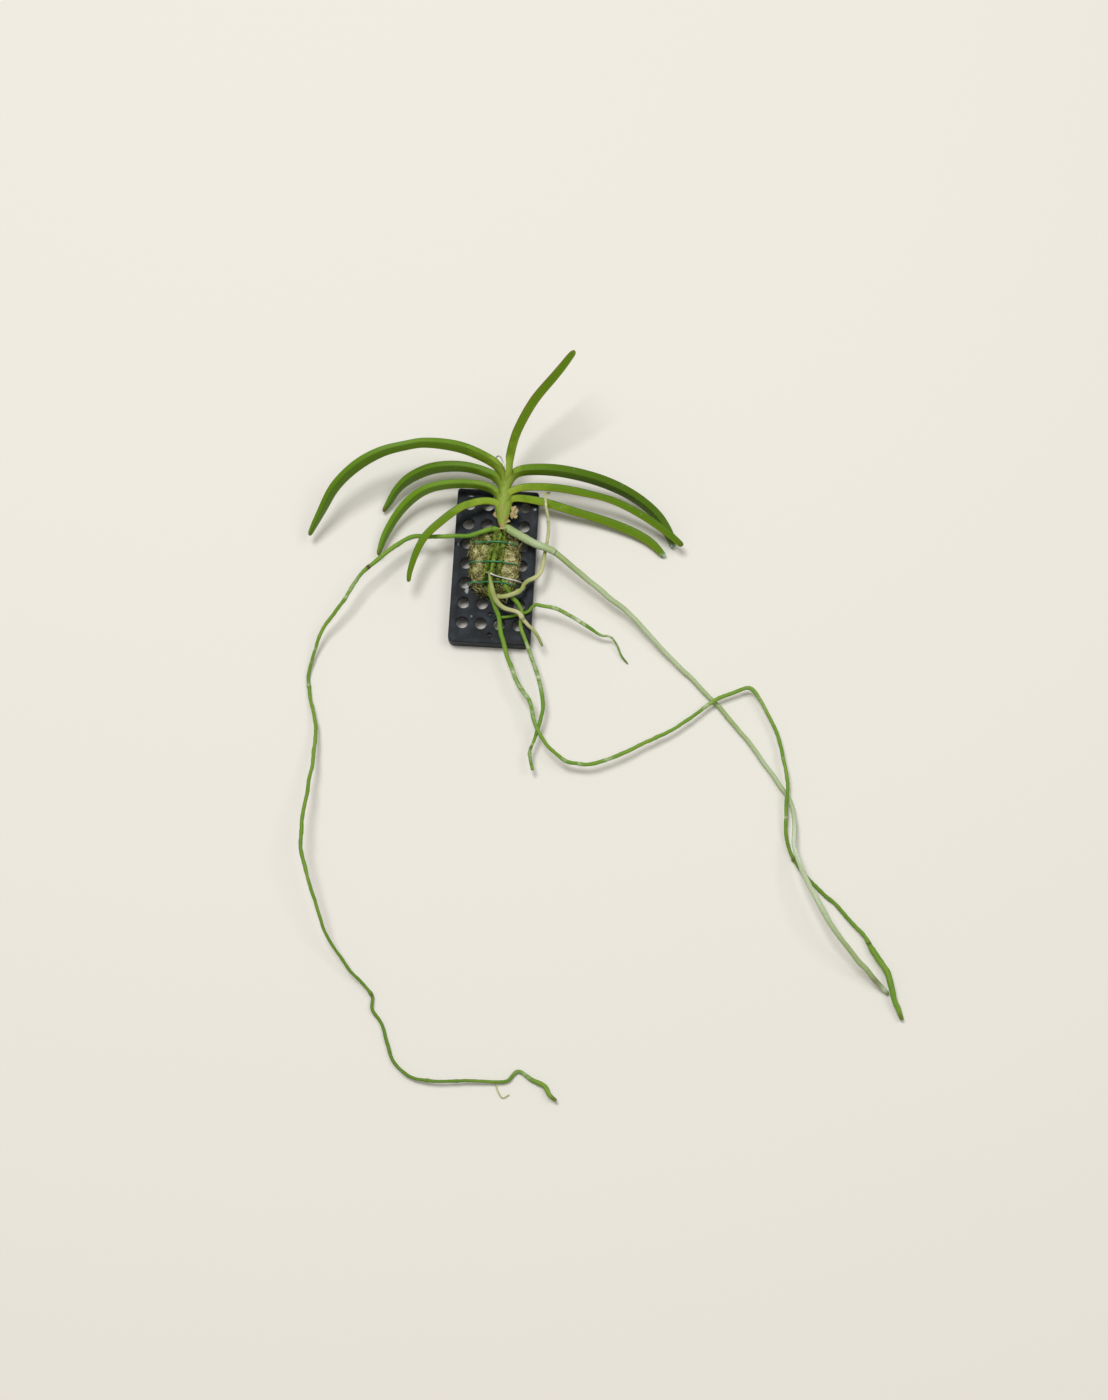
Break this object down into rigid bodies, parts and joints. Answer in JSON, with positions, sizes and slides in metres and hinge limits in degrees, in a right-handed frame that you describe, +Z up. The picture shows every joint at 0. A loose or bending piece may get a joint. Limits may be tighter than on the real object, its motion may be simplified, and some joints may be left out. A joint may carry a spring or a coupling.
{
  "type": "mounted orchid plant",
  "caption": "Young vanda orchid with folded strap leaves and long trailing aerial roots, tied with a pad of moss to a perforated hanging plaque, lying on its back.",
  "frame": {"origin": "middle of the lower end of the plaque's rim, on the face that it lies on", "axes": "+Y runs along the plaque from its lower end to the leaves, +X runs across it, +Z runs up from the surface to the plant's face"},
  "size_m": [0.3022, 0.3557, 0.0579],
  "materials": {
    "black_plastic": "matte, with pale scuffs",
    "galvanised_wire": "satin",
    "coated_tie": "satin, coated thread",
    "dry_moss": "fibrous, dry",
    "stem_green": "satin",
    "leaf_green": "waxy",
    "dried_bract": "papery",
    "silver_root": "matte, velvety",
    "green_root": "satin",
    "pale_root": "matte, fibrous"
  },
  "bodies": {
    "root": {"plaque": "black_plastic", "hanger_wire": "galvanised_wire", "tie_upper": "coated_tie", "tie_middle": "coated_tie", "tie_lower": "coated_tie", "moss_pad": "dry_moss", "stem": "stem_green", "leaf_top": "leaf_green", "leaf_left_1": "leaf_green", "leaf_left_2": "leaf_green", "leaf_left_3": "leaf_green", "leaf_left_4": "leaf_green", "leaf_right_1": "leaf_green", "leaf_right_2": "leaf_green", "leaf_right_3": "leaf_green", "dried_bract_right": "dried_bract", "dried_bract_left": "dried_bract", "root_silver": "silver_root", "root_left_long": "green_root", "root_centre_long": "green_root", "root_short_green": "green_root", "root_side_green": "green_root", "root_old_left": "green_root", "root_old_right": "green_root", "root_pale_front": "pale_root", "root_pale_hooked": "pale_root", "root_dry_fibre": "pale_root"}
  },
  "joints": []
}
